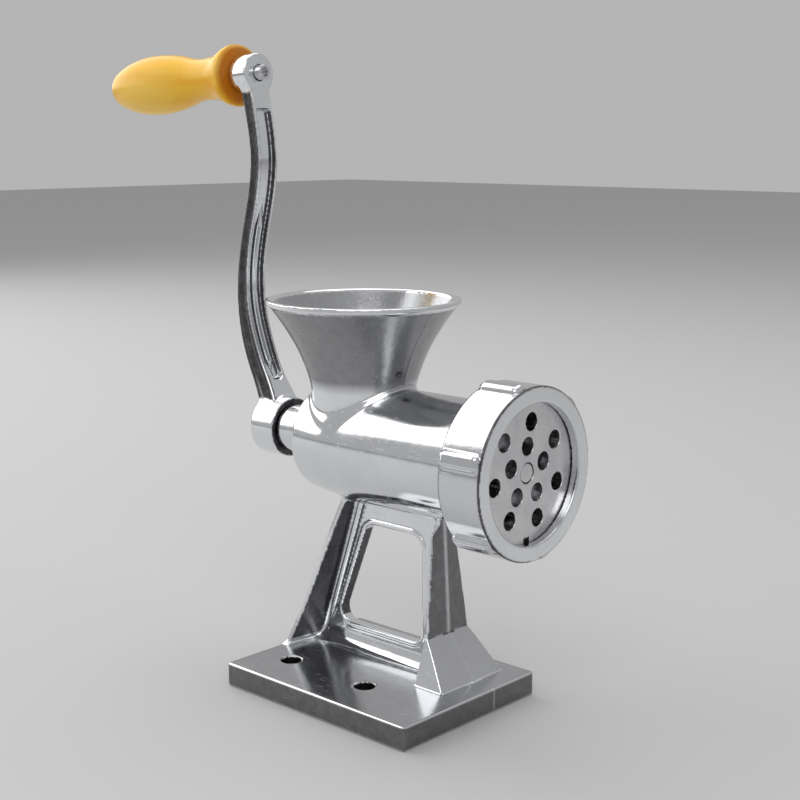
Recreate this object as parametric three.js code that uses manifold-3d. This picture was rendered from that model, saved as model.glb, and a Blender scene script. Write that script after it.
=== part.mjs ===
// Hand crank meat grinder for 70 mm plates, bolted to a bench. Lengths are in millimetres.
//
// Frame: the origin is on the underside of the base, right below the barrel. +Z is up,
// +X runs along the barrel's axis from the crank to the plate that the meat leaves by,
// and y = 0 is the middle plane of the barrel, the pedestal and the hopper.

import * as THREE from 'three';
import { mergeVertices } from 'three/addons/utils/BufferGeometryUtils.js';
import Module from 'manifold-3d';

const wasm = await Module();
wasm.setup();

// ---------------------------------------------------------------------------
// Driving dimensions
// ---------------------------------------------------------------------------

const GAP = 0.3; // between pieces that touch on the real grinder
const PAST = 1; // how far a tool runs past the face that it cuts, or a piece into its neighbour
const ROUND = 48; // facets on a large circle
const MEDIUM = 32; // facets on a shaft, a bush or the grip
const FINE = 24; // facets on a small circle

// The base plate reaches further out on the -Y side.
const BASE = { back: -61, front: 61, near: -64, far: 32, thick: 12, corner: 2 };
const BOLT = { radius: 5.25, x: [-40, 12], y: [-39, 19] };

// Pedestal: a web with a window, between a slanted rear flange and an upright front one.
const WEB = { half: 3, top: 104, apronHalf: 6.5, apronTop: 16 };
const WINDOW = { bottom: 24.5, top: 80, backLow: -42.5, backHigh: -20.5, front: 17, corner: 7 };
const REAR_LEG = { footX: -60.5, topX: -28.5, thick: 6 };
const REAR_WIDTH = {
  foot: { near: 25, far: 14 },
  knee: { near: 19.5, far: 11 },
  top: { near: 8, far: 8 },
};
const FRONT_LEG = { topX: 28, creaseX: 32.4, footX: 48.5, thick: 5 };
const FRONT_WIDTH = { foot: 23, crease: 15.2, top: 8.5 };
const CREASE_Z = 34; // height at which both legs spread into their feet
const SHOULDER_Z = 84; // height at which the front flange starts to close to a gable
const GABLE_Z = 88.5; // height at which it is as narrow as the web

// Barrel, round the X axis at this height.
const AXIS_Z = 122;
const BARREL = { radius: 29.8, neckBack: -77.5, neckRadius: 12.8, neckFillet: 5, neckGap: 1 };
const NECK_BEVEL = 1;
const BARREL_END = [
  // x, radius: the rounded rear end, then a slight taper
  [-52, 24.6],
  [-51.2, 26.4],
  [-49.6, 27.5],
  [-45, 28.2],
  [-38, 29],
  [-30, 29.6],
  [-24, 29.8],
];
const CHAMBER = { radius: 25, back: -47, front: 64.8 };
const MOUTH = { inner: 35.2, thread: 38.6, shoulder: 58.5, back: 60, front: 76 };
const BUSH = { outer: 10.5, inner: 9.3, back: -77, front: -47.5 };
const KEY = { radius: 1.6, x: 74, inner: 31.8, outer: 38.2, facets: 12 };

// Hopper: a trumpet round a vertical axis.
const HOPPER = { x: -25.4, rimZ: 195, wall: 3.2, throat: 20, cupFloor: 160 };
const HOPPER_OUTER = [
  // height, outer radius
  [134, 26.4],
  [146, 26.2],
  [154, 27.4],
  [162, 30],
  [170, 33.4],
  [178, 37.8],
  [186, 43],
  [191.5, 46.8],
];
const HOPPER_THROAT = [
  // height, inner radius, from the cup's floor down to the barrel
  [156, 23.4],
  [150, 21],
  [136, 20.2],
];
const RIM = { radius: 49, edge: 3, chamfer: 1 };

// Ring nut, screwed over the barrel's mouth, with ribs for the hand.
const RING = {
  back: 59.5,
  lipBack: 80,
  front: 84.5,
  outer: 41.2,
  inner: 38.9,
  opening: 33.4,
  bevel: 1.2,
};
const RIB = { count: 6, first: 44.5, radius: 3.6, sunk: 0.8, back: 61.5, front: 81.5, facets: 12 };

// Perforated plate, cross knife and the stud that centres them.
const PLATE = { back: 71.7, front: 79.7, radius: 34.9, bore: 5, holeFacets: 16 };
const OUTER_HOLES = { count: 7, pitchRadius: 24, radius: 4.3, first: 84 };
const INNER_HOLES = { count: 5, pitchRadius: 12.6, radius: 4.3, first: 90 };
const KEYWAY = { half: 2.1, depth: 4 };
const KNIFE = { back: 66.3, front: 71.3, reach: 32.5, hub: 10.5, blade: 9, tip: 7, rake: 3 };
const STUD = {
  back: 50,
  square: 4.5,
  shoulder: 64.8,
  tipStart: 71.4,
  front: 79.3,
  thread: 4,
  tip: 4.6,
  chamfer: 0.8,
};

// Auger, from its square tail inside the crank to its front face.
const AUGER = {
  tailEnd: -95.7,
  tailHalf: 6,
  journalBack: -77.6,
  journal: 9,
  collarBack: -45,
  collarFront: -40,
  collar: 15,
  coreBack: -36,
  core: 9.5,
  coreFront: 13,
  front: 64.5,
};
const FLIGHT = { back: -35, front: 61, radius: 24.4, pitch: 27, thick: 4, rootScale: 1.2, edgeScale: 0.7 };
const THRUST = { back: -46.7, front: -45.3, outer: 15, inner: 9.3 };

// Crank: hub, curved arm, and an eye that carries the grip.
const HUB = { back: -96, front: -78, radius: 15.8 };
const ARM_LINE = [
  // x, z of the middle of the arm and its thickness, from inside the hub to inside the eye
  [-84, 124, 11.5],
  [-91, 138, 11.5],
  [-97.5, 149, 11.3],
  [-104.5, 165, 11],
  [-109.1, 184, 9.4],
  [-109.4, 202, 8],
  [-105.5, 224, 7.6],
  [-100.2, 245, 7.6],
  [-98, 266, 7.6],
  [-100, 281, 7.6],
  [-104.5, 300, 8],
];
const ARM = { width: 13.6, steps: 28 };
const POCKET = { half: 4.9, depth: 3, low: 0.18, high: 0.935 };

const CRANK_WASHER = { back: -98.2, front: -96.3, outer: 10, inner: 4.4 };
const CRANK_SCREW = {
  head: 7.2,
  headBack: -104,
  headFront: -98.5,
  chamfer: 1.2,
  shank: 4,
  end: -85,
  slotHalf: 1,
  slotDepth: 2.2,
};

// The eye, its spindle and the grip share an axis that falls slightly towards the grip.
// Their x is measured along it from the middle of the eye.
const EYE = { x: -106.4, z: 306.8, tilt: 3.2, half: 6, radius: 10.2, bore: 4.2 };
const SPINDLE = {
  radius: 3.9,
  front: 10.5,
  frontChamfer: 0.6,
  back: -110.5,
  head: 5.2,
  headFront: -107,
  headChamfer: 0.8,
  socket: 2.3,
  socketDepth: 4,
};
const GRIP_WASHER = { back: -8.2, front: -6.4, outer: 9, inner: 4.1 };
const GRIP = { front: -8.6, length: 104.4, bore: 4.2, counterbore: 5.8, counterDepth: 6.4 };
const GRIP_OUTLINE = [
  // distance from the big end, radius
  [0, 14.4],
  [1, 15.8],
  [3.4, 16.2],
  [7, 15.2],
  [13, 12.9],
  [20, 11.5],
  [28, 11],
  [36, 11.6],
  [46, 13.8],
  [56, 15.4],
  [66, 16.1],
  [74, 16],
  [82, 15.1],
  [90, 13.4],
  [96, 11.5],
  [100.5, 9.5],
  [103.3, 7.8],
  [104.4, 6.8],
];

// ---------------------------------------------------------------------------
// Materials
// ---------------------------------------------------------------------------

const material = (color, roughness, metalness) =>
  new THREE.MeshStandardMaterial({ color, roughness, metalness });

const CAST = material(0xb9babd, 0.22, 1);
const STEEL = material(0xc4c5c8, 0.25, 1);
const BRONZE = material(0xb08a4e, 0.4, 1);
const NYLON = material(0xe6e3d8, 0.5, 0);
const WOOD = material(0xe09a2e, 0.3, 0);

// ---------------------------------------------------------------------------
// Solids
// ---------------------------------------------------------------------------

function solid(geometry) {
  const bare = geometry.clone();
  bare.deleteAttribute('normal');
  bare.deleteAttribute('uv');
  const merged = mergeVertices(bare, 1e-4);
  const corners = [];
  const index = merged.index.array;
  for (let i = 0; i < index.length; i += 3) {
    const [a, b, c] = [index[i], index[i + 1], index[i + 2]];
    if (a !== b && b !== c && c !== a) corners.push(a, b, c);
  }
  return new wasm.Manifold(
    new wasm.Mesh({
      numProp: 3,
      vertProperties: new Float32Array(merged.attributes.position.array),
      triVerts: new Uint32Array(corners),
    }),
  );
}

const join = (first, ...rest) => rest.reduce((sum, next) => sum.add(next), first);
const cut = (body, ...tools) => tools.reduce((left, tool) => left.subtract(tool), body);

function geometryOf(body) {
  const mesh = body.getMesh();
  const geometry = new THREE.BufferGeometry();
  const positions = new Float32Array(mesh.vertProperties);
  geometry.setAttribute('position', new THREE.BufferAttribute(positions, 3));
  geometry.setIndex(new THREE.BufferAttribute(new Uint32Array(mesh.triVerts), 1));
  geometry.computeVertexNormals();
  return geometry;
}

// Places for pieces that are drawn round their own X axis.
const alongX = (y, z) => new THREE.Matrix4().makeTranslation(0, y, z);
const ON_BARREL = alongX(0, AXIS_Z);
const AT_EYE = new THREE.Matrix4()
  .makeRotationY(-THREE.MathUtils.degToRad(EYE.tilt))
  .setPosition(EYE.x, 0, EYE.z);
const IN_GROUP = new THREE.Matrix4();

// A solid of revolution round the X axis; points are [x, radius].
function turned(points, place = ON_BARREL, facets = ROUND) {
  const profile = points.map(([x, radius]) => new THREE.Vector2(radius, x));
  const geometry = new THREE.LatheGeometry(profile, facets);
  geometry.rotateZ(-Math.PI / 2);
  geometry.applyMatrix4(place);
  return outward(geometry);
}

// The same round a vertical axis through (x, y); points are [height, radius].
function upright(points, x = 0, y = 0, facets = ROUND) {
  const profile = points.map(([height, radius]) => new THREE.Vector2(radius, height));
  const geometry = new THREE.LatheGeometry(profile, facets);
  geometry.rotateX(Math.PI / 2);
  geometry.translate(x, y, 0);
  return outward(geometry);
}

// A lathe profile may run either way, so the faces are turned to point out.
function outward(geometry) {
  const position = geometry.attributes.position;
  const index = geometry.index.array;
  const [a, b, c] = [new THREE.Vector3(), new THREE.Vector3(), new THREE.Vector3()];
  let volume = 0;
  for (let i = 0; i < index.length; i += 3) {
    a.fromBufferAttribute(position, index[i]);
    b.fromBufferAttribute(position, index[i + 1]);
    c.fromBufferAttribute(position, index[i + 2]);
    volume += a.dot(b.cross(c));
  }
  if (volume < 0) geometry.index.array.reverse();
  return solid(geometry);
}

const rod = (from, to, radius, place = ON_BARREL, facets = FINE) =>
  turned([[from, 0], [from, radius], [to, radius], [to, 0]], place, facets);

const tube = (from, to, outer, inner, place = ON_BARREL, facets = FINE) =>
  turned([[from, inner], [from, outer], [to, outer], [to, inner], [from, inner]], place, facets);

const post = (from, to, radius, x, y, facets = FINE) =>
  upright([[from, 0], [from, radius], [to, radius], [to, 0]], x, y, facets);

function box(x0, x1, y0, y1, z0, z1) {
  const geometry = new THREE.BoxGeometry(x1 - x0, y1 - y0, z1 - z0);
  geometry.translate((x0 + x1) / 2, (y0 + y1) / 2, (z0 + z1) / 2);
  return solid(geometry);
}

// A square bar or hole along the barrel's axis.
const square = (x0, x1, half) => box(x0, x1, -half, half, AXIS_Z - half, AXIS_Z + half);

// A shape drawn in x and z, as thick as y0 to y1.
function slab(shape, y0, y1, curveSegments = 6) {
  const options = { depth: y1 - y0, bevelEnabled: false, curveSegments };
  const geometry = new THREE.ExtrudeGeometry(shape, options);
  geometry.rotateX(Math.PI / 2);
  geometry.translate(0, y1, 0);
  return solid(geometry);
}

const outline = (points) => new THREE.Shape(points.map(([x, z]) => new THREE.Vector2(x, z)));

// A closed outline with its corners rounded by quarter-like curves.
function roundedOutline(points, radius) {
  const shape = new THREE.Shape();
  const corners = points.map(([x, z]) => new THREE.Vector2(x, z));
  corners.forEach((corner, i) => {
    const before = corners[(i + corners.length - 1) % corners.length];
    const after = corners[(i + 1) % corners.length];
    const start = corner.clone().add(before.clone().sub(corner).setLength(radius));
    const end = corner.clone().add(after.clone().sub(corner).setLength(radius));
    if (i === 0) shape.moveTo(start.x, start.y);
    else shape.lineTo(start.x, start.y);
    shape.quadraticCurveTo(corner.x, corner.y, end.x, end.y);
  });
  shape.closePath();
  return shape;
}

// A block between two level rectangles, each { z, x0, x1, near, far }, that reaches
// near millimetres to the -Y side of the middle plane and far millimetres to the other.
function frustum(low, high) {
  const geometry = new THREE.BoxGeometry(2, 2, 2);
  const position = geometry.attributes.position;
  for (let i = 0; i < position.count; i += 1) {
    const level = position.getZ(i) < 0 ? low : high;
    const x = position.getX(i) < 0 ? level.x0 : level.x1;
    const y = position.getY(i) < 0 ? -level.near : level.far;
    position.setXYZ(i, x, y, level.z);
  }
  return solid(geometry);
}

const evenly = (half) => ({ near: half, far: half });

// ---------------------------------------------------------------------------
// Body casting: base plate, pedestal, barrel and hopper
// ---------------------------------------------------------------------------

function basePlate() {
  const { back, front, near, far, thick, corner } = BASE;
  const shape = roundedOutline([[back, near], [front, near], [front, far], [back, far]], corner);
  const options = { depth: thick, bevelEnabled: false, curveSegments: 3 };
  const geometry = new THREE.ExtrudeGeometry(shape, options);
  const hole = (x, y) => post(-PAST, thick + PAST, BOLT.radius, x, y);
  const holes = BOLT.x.flatMap((x) => BOLT.y.map((y) => hole(x, y)));
  return cut(solid(geometry), ...holes);
}

const rearLegX = (z) => {
  const { footX, topX } = REAR_LEG;
  return footX + ((topX - footX) * (z - BASE.thick)) / (WEB.top - BASE.thick);
};

// The room that the barrel takes up in the pedestal and the hopper.
const barrelClearance = (facets) =>
  rod(BASE.back, MOUTH.back, BARREL.radius + GAP, ON_BARREL, facets);

function pedestal() {
  const foot = BASE.thick;
  const { half, top, apronHalf, apronTop } = WEB;
  const web = slab(
    outline([
      [rearLegX(foot), foot],
      [FRONT_LEG.creaseX - PAST, foot],
      [FRONT_LEG.topX - PAST, top],
      [rearLegX(top), top],
    ]),
    -half,
    half,
  );
  const apron = frustum(
    { z: foot, x0: rearLegX(foot) + PAST, x1: FRONT_LEG.creaseX, ...evenly(apronHalf) },
    { z: apronTop, x0: rearLegX(apronTop) + PAST, x1: FRONT_LEG.creaseX - PAST, ...evenly(half) },
  );
  const rearLevel = (z, width) => ({ z, x0: rearLegX(z), x1: rearLegX(z) + REAR_LEG.thick, ...width });
  const rearKnee = rearLevel(CREASE_Z, REAR_WIDTH.knee);
  const rearLeg = join(
    frustum(rearLevel(foot, REAR_WIDTH.foot), rearKnee),
    frustum(rearKnee, rearLevel(top, REAR_WIDTH.top)),
  );
  const { topX, creaseX, footX, thick } = FRONT_LEG;
  const frontFoot = { z: foot, x0: creaseX - thick, x1: footX, ...evenly(FRONT_WIDTH.foot) };
  const frontCrease = { z: CREASE_Z, x0: creaseX - thick, x1: creaseX, ...evenly(FRONT_WIDTH.crease) };
  const frontShoulder = { z: SHOULDER_Z, x0: topX - thick, x1: topX, ...evenly(FRONT_WIDTH.top) };
  const frontGable = { z: GABLE_Z, x0: topX - thick, x1: topX, ...evenly(half) };
  const frontLeg = join(
    frustum(frontFoot, frontCrease),
    frustum(frontCrease, frontShoulder),
    frustum(frontShoulder, frontGable),
  );
  const { bottom, backLow, backHigh, front, corner } = WINDOW;
  const windowCorners = [[backLow, bottom], [front, bottom], [front, WINDOW.top], [backHigh, WINDOW.top]];
  const reach = REAR_WIDTH.foot.near;
  const window = slab(roundedOutline(windowCorners, corner), -reach, reach);
  return cut(join(web, apron, rearLeg, frontLeg), window, barrelClearance(ROUND));
}

// The barrel's outside, from the end of its rear neck to the front of the threaded mouth.
function barrelOutside() {
  const { radius, neckBack, neckRadius, neckFillet, neckGap } = BARREL;
  const [[back]] = BARREL_END;
  const points = [[neckBack, neckRadius - NECK_BEVEL], [neckBack + NECK_BEVEL, neckRadius]];
  for (const bend of [0, 30, 60, 90]) {
    const turn = THREE.MathUtils.degToRad(bend);
    const along = back - neckGap - neckFillet + neckFillet * Math.sin(turn);
    points.push([along, neckRadius + neckFillet * (1 - Math.cos(turn))]);
  }
  points.push(...BARREL_END);
  points.push([MOUTH.shoulder, radius], [MOUTH.back, MOUTH.thread], [MOUTH.front, MOUTH.thread]);
  return points;
}

function barrel() {
  const shell = turned([
    ...barrelOutside(),
    [MOUTH.front, MOUTH.inner],
    [CHAMBER.front, MOUTH.inner],
    [CHAMBER.front, CHAMBER.radius],
    [CHAMBER.back, CHAMBER.radius],
    [CHAMBER.back, BUSH.outer + GAP],
    [BARREL.neckBack, BUSH.outer + GAP],
    [BARREL.neckBack, BARREL.neckRadius - NECK_BEVEL],
  ]);
  const throat = post(AXIS_Z, HOPPER.rimZ, HOPPER.throat, HOPPER.x, 0, ROUND);
  const [keyLow, keyHigh] = [AXIS_Z - MOUTH.thread - PAST, AXIS_Z - MOUTH.inner + PAST];
  const keyHole = post(keyLow, keyHigh, KEY.radius + GAP, KEY.x, 0, KEY.facets);
  return cut(shell, throat, keyHole);
}

function hopper() {
  const { x, rimZ, wall, cupFloor } = HOPPER;
  const { radius: rimRadius, edge, chamfer } = RIM;
  const rim = [
    [rimZ - edge + chamfer / 2, rimRadius - chamfer / 2],
    [rimZ - chamfer, rimRadius],
    [rimZ, rimRadius - chamfer],
    [rimZ, rimRadius - edge],
  ];
  const cup = HOPPER_OUTER
    .filter(([height]) => height > cupFloor)
    .map(([height, radius]) => [height, radius - wall])
    .reverse();
  const shell = upright([...HOPPER_OUTER, ...rim, ...cup, ...HOPPER_THROAT, HOPPER_OUTER[0]], x, 0);
  return cut(shell, barrelClearance(ROUND * 2));
}

// ---------------------------------------------------------------------------
// What is inside and at the mouth of the barrel
// ---------------------------------------------------------------------------

const rearBush = () => tube(BUSH.back, BUSH.front, BUSH.outer, BUSH.inner, ON_BARREL, MEDIUM);

const plateKey = () => post(AXIS_Z - KEY.outer, AXIS_Z - KEY.inner, KEY.radius, KEY.x, 0, KEY.facets);

const thrustWasher = () => tube(THRUST.back, THRUST.front, THRUST.outer, THRUST.inner, ON_BARREL, MEDIUM);

// The flight is a straight strip wound round the X axis, thicker at its root than at its
// edge. It is left-handed, so that it drives the meat towards +X while the crank turns
// clockwise seen from the crank's side.
function flight() {
  const { back, front, radius, pitch, thick } = FLIGHT;
  const turns = (front - back) / pitch;
  const length = turns * 2 * Math.PI;
  const root = AUGER.core - PAST;
  const steps = Math.round(turns * 20);
  const geometry = new THREE.BoxGeometry(length, radius - root, thick, steps, 1, 1);
  const position = geometry.attributes.position;
  for (let i = 0; i < position.count; i += 1) {
    const wound = position.getX(i) + length / 2;
    const reach = position.getY(i) + (radius + root) / 2;
    const scale = reach > (radius + root) / 2 ? FLIGHT.edgeScale : FLIGHT.rootScale;
    const x = back + (wound / length) * (front - back) + position.getZ(i) * scale;
    position.setXYZ(i, x, reach * Math.cos(-wound), reach * Math.sin(-wound) + AXIS_Z);
  }
  return solid(geometry);
}

function auger() {
  const { tailEnd, tailHalf, journalBack, journal, collarBack, collarFront, front } = AUGER;
  const profile = [
    [journalBack, 0],
    [journalBack, journal],
    [collarBack, journal],
    [collarBack, AUGER.collar],
    [collarFront, AUGER.collar],
    [AUGER.coreBack, AUGER.core],
    [front, AUGER.coreFront],
    [front, 0],
  ];
  const shaft = turned(profile, ON_BARREL, MEDIUM);
  const tail = square(tailEnd, journalBack + PAST, tailHalf);
  const screwHole = rod(tailEnd - PAST, CRANK_SCREW.end + PAST, CRANK_SCREW.shank + GAP);
  const studHole = rod(STUD.back - PAST, front + PAST, STUD.thread + GAP);
  return cut(join(shaft, tail, flight()), screwHole, studHole);
}

function knifeStud() {
  const { back, shoulder, tipStart, front, thread, tip, chamfer } = STUD;
  const profile = [
    [tipStart - PAST, 0],
    [tipStart - PAST, tip],
    [front - chamfer, tip],
    [front, tip - chamfer],
    [front, 0],
  ];
  return join(
    rod(back, shoulder + PAST, thread),
    square(shoulder, tipStart, STUD.square),
    turned(profile, ON_BARREL, FINE),
  );
}

function knife() {
  const { back, front, reach, hub, blade, tip, rake } = KNIFE;
  const wings = [0, 1, 2, 3].map((quarter) => {
    const shape = outline([[0, -blade / 2], [reach, -tip / 2], [reach, tip / 2], [0, blade / 2]]);
    const geometry = new THREE.ExtrudeGeometry(shape, { depth: front - back, bevelEnabled: false });
    const position = geometry.attributes.position;
    for (let i = 0; i < position.count; i += 1) {
      const onBackFace = position.getZ(i) < (front - back) / 2;
      if (onBackFace && position.getY(i) > 0) position.setY(i, position.getY(i) - rake);
    }
    geometry.rotateZ((quarter * Math.PI) / 2 + Math.PI / 4);
    geometry.rotateX(Math.PI / 2);
    geometry.rotateZ(Math.PI / 2);
    geometry.translate(back, 0, AXIS_Z);
    return solid(geometry);
  });
  const hole = square(back - PAST, front + PAST, STUD.square + GAP);
  return cut(join(rod(back, front, hub), ...wings), hole);
}

function holeRing({ count, pitchRadius, radius, first }) {
  return Array.from({ length: count }, (_, i) => {
    const angle = THREE.MathUtils.degToRad(first + (i * 360) / count);
    const y = pitchRadius * Math.cos(angle);
    const z = AXIS_Z + pitchRadius * Math.sin(angle);
    return rod(PLATE.back - PAST, PLATE.front + PAST, radius, alongX(y, z), PLATE.holeFacets);
  });
}

function plate() {
  const { back, front, radius, bore } = PLATE;
  const rim = AXIS_Z - radius;
  const { half, depth } = KEYWAY;
  const keyway = box(back - PAST, front + PAST, -half, half, rim - PAST, rim + depth);
  const centre = rod(back - PAST, front + PAST, bore);
  const disc = rod(back, front, radius, ON_BARREL, ROUND);
  return cut(disc, centre, keyway, ...holeRing(OUTER_HOLES), ...holeRing(INNER_HOLES));
}

function ringNut() {
  const { back, lipBack, front, outer, inner, opening, bevel } = RING;
  const shell = turned([
    [back, inner],
    [back, outer - bevel],
    [back + bevel, outer],
    [front - bevel, outer],
    [front, outer - bevel],
    [front, opening + bevel / 2],
    [front - bevel / 2, opening],
    [lipBack, opening],
    [lipBack, inner],
    [back, inner],
  ]);
  const bore = rod(back - PAST, lipBack, inner, ON_BARREL, ROUND);
  const ribs = Array.from({ length: RIB.count }, (_, i) => {
    const angle = THREE.MathUtils.degToRad(RIB.first + (i * 360) / RIB.count);
    const distance = outer - RIB.sunk;
    const place = alongX(distance * Math.cos(angle), AXIS_Z + distance * Math.sin(angle));
    const { back: ribBack, front: ribFront, radius } = RIB;
    const profile = [[ribBack, 0], [ribBack, radius], [ribFront - radius, radius]];
    for (const bend of [30, 60, 90]) {
      const turn = THREE.MathUtils.degToRad(bend);
      profile.push([ribFront - radius + radius * Math.sin(turn), radius * Math.cos(turn)]);
    }
    return turned(profile, place, RIB.facets);
  });
  return cut(join(shell, ...ribs), bore);
}

// ---------------------------------------------------------------------------
// Crank and grip
// ---------------------------------------------------------------------------

// x, z and thickness along the arm, as one smooth curve.
const armLine = new THREE.CatmullRomCurve3(ARM_LINE.map(([x, z, thick]) => new THREE.Vector3(x, thick, z)));

// Outline of a strip that follows the arm, from one part of its length to another. Its two
// sides lie at the distances from the middle of the arm that sides() gives for a thickness.
function armStrip(from, to, sides) {
  const edges = [[], []];
  for (let i = 0; i <= ARM.steps; i += 1) {
    const t = from + ((to - from) * i) / ARM.steps;
    const { x, y: thick, z } = armLine.getPoint(t);
    const tangent = armLine.getTangent(t).setY(0).normalize();
    sides(thick).forEach((distance, side) => {
      edges[side].push([x + tangent.z * distance, z - tangent.x * distance]);
    });
  }
  return outline([...edges[0], ...edges[1].reverse()]);
}

function crankArm() {
  const arm = slab(armStrip(0, 1, (thick) => [thick / 2, -thick / 2]), -ARM.width / 2, ARM.width / 2);
  const pocket = slab(
    armStrip(POCKET.low, POCKET.high, (thick) => [thick / 2 + PAST, thick / 2 - POCKET.depth]),
    -POCKET.half,
    POCKET.half,
  );
  const hub = rod(HUB.back, HUB.front, HUB.radius, ON_BARREL, MEDIUM);
  const eye = rod(-EYE.half, EYE.half, EYE.radius, AT_EYE, MEDIUM);
  const hubHole = square(HUB.back - HUB.radius, HUB.front + HUB.radius, AUGER.tailHalf + GAP);
  const bore = rod(-EYE.half - PAST, EYE.half + PAST, EYE.bore, AT_EYE);
  return cut(join(cut(arm, pocket), hub, eye), hubHole, bore);
}

function crankWasher() {
  const { back, front, outer, inner } = CRANK_WASHER;
  return tube(back, front, outer, inner);
}

function crankScrew() {
  const { head, headBack, headFront, chamfer, shank, end, slotHalf, slotDepth } = CRANK_SCREW;
  const profile = [
    [headBack, 0],
    [headBack, head - chamfer],
    [headBack + chamfer, head],
    [headFront, head],
    [headFront, shank],
    [end, shank],
    [end, 0],
  ];
  const [low, high] = [AXIS_Z - slotHalf, AXIS_Z + slotHalf];
  const slot = box(headBack - PAST, headBack + slotDepth, -head - PAST, head + PAST, low, high);
  return cut(turned(profile, ON_BARREL, FINE), slot);
}

function gripSpindle() {
  const { radius, front, frontChamfer, back, head, headFront, headChamfer, socket, socketDepth } = SPINDLE;
  const profile = [
    [back, 0],
    [back, head - headChamfer],
    [back + headChamfer, head],
    [headFront, head],
    [headFront, radius],
    [front - frontChamfer, radius],
    [front, radius - frontChamfer],
    [front, socket],
    [front - socketDepth, socket],
    [front - socketDepth, 0],
  ];
  return turned(profile, IN_GROUP, FINE);
}

function gripWasher() {
  const { back, front, outer, inner } = GRIP_WASHER;
  return tube(back, front, outer, inner, IN_GROUP);
}

function grip() {
  const { front, length, bore, counterbore, counterDepth } = GRIP;
  const back = front - length;
  const profile = [
    [front, bore],
    ...GRIP_OUTLINE.map(([distance, radius]) => [front - distance, radius]),
    [back, counterbore],
    [back + counterDepth, counterbore],
    [back + counterDepth, bore],
    [front, bore],
  ];
  return turned(profile, IN_GROUP, MEDIUM);
}

// ---------------------------------------------------------------------------
// The object, one group for each assembly
// ---------------------------------------------------------------------------

function assembly(pieces) {
  const group = new THREE.Group();
  for (const [name, body, look] of pieces) {
    const mesh = new THREE.Mesh(geometryOf(body), look);
    mesh.name = name;
    group.add(mesh);
  }
  return group;
}

const casting = assembly([
  ['base_plate', basePlate(), CAST],
  ['pedestal', pedestal(), CAST],
  ['barrel', barrel(), CAST],
  ['hopper', hopper(), CAST],
  ['rear_bush', rearBush(), BRONZE],
  ['plate_key', plateKey(), STEEL],
]);

const feed = assembly([
  ['auger', auger(), CAST],
  ['thrust_washer', thrustWasher(), NYLON],
  ['knife_stud', knifeStud(), STEEL],
  ['knife', knife(), STEEL],
]);

const mouth = assembly([
  ['plate', plate(), STEEL],
  ['ring_nut', ringNut(), CAST],
]);

const crank = assembly([
  ['crank_arm', crankArm(), CAST],
  ['crank_washer', crankWasher(), STEEL],
  ['crank_screw', crankScrew(), STEEL],
]);

const handle = assembly([
  ['grip_spindle', gripSpindle(), STEEL],
  ['grip_washer', gripWasher(), STEEL],
  ['grip', grip(), WOOD],
]);
handle.position.set(EYE.x, 0, EYE.z);
handle.rotation.y = -THREE.MathUtils.degToRad(EYE.tilt);
crank.add(handle);

const grinder = new THREE.Group();
grinder.add(casting, feed, mouth, crank);

export default grinder;
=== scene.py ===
# Hand crank meat grinder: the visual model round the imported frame. Shapes are worked out in
# millimetres, in the frame of the CAD model, and turned to metres when a mesh is made.
import math
import bmesh
import bpy
import numpy as np
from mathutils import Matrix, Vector


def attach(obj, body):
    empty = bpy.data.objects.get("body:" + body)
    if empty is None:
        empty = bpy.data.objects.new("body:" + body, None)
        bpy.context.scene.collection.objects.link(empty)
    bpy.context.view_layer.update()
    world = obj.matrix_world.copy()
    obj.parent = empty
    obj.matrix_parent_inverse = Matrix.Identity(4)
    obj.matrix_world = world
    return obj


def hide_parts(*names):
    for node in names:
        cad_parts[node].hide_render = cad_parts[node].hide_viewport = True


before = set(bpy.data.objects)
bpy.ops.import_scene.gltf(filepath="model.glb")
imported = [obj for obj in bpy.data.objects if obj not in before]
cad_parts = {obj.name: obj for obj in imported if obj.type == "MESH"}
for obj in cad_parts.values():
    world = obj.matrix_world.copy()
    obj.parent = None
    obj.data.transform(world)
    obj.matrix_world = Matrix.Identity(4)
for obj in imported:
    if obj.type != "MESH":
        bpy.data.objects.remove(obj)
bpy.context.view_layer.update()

MM = 0.001
AXIS_Z = 122.0  # height of the barrel's axis
AXIS = (0.0, 0.0, AXIS_Z)

# ---------------------------------------------------------------------------------------
# Distance fields. Each works on arrays, is negative inside, and is close to a true distance.
# ---------------------------------------------------------------------------------------


def join(a, b, k=0.0):
    """Union, with a fillet of about k."""
    if np.isscalar(k) and not k:
        return np.minimum(a, b)
    h = np.maximum(k - np.abs(a - b), 0.0) / k
    return np.minimum(a, b) - h * h * k * 0.25


def both(a, b, r=0.0):
    """Intersection, with its edge rounded to a radius of r."""
    if np.isscalar(r) and not r:
        return np.maximum(a, b)
    a, b = a + r, b + r
    return np.minimum(np.maximum(a, b), 0.0) + np.hypot(np.maximum(a, 0.0), np.maximum(b, 0.0)) - r


def cut(a, b, r=0.0):
    return both(a, -b, r)


def between(v, low, high):
    return np.maximum(low - v, v - high)


def polygon(u, v, points):
    """Distance to a closed outline in a plane."""
    pts = np.array(points, float)
    best = np.full(u.shape, 1e18)
    inside = np.zeros(u.shape, bool)
    for (ax, ay), (bx, by) in zip(pts, np.roll(pts, -1, 0)):
        ex, ey = bx - ax, by - ay
        wx, wy = u - ax, v - ay
        t = np.clip((wx * ex + wy * ey) / (ex * ex + ey * ey), 0.0, 1.0)
        best = np.minimum(best, (wx - ex * t) ** 2 + (wy - ey * t) ** 2)
        if ay != by:
            crosses = (ay > v) != (by > v)
            inside ^= crosses & (u < ex * (v - ay) / ey + ax)
    return np.where(inside, -1.0, 1.0) * np.sqrt(best)


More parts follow.
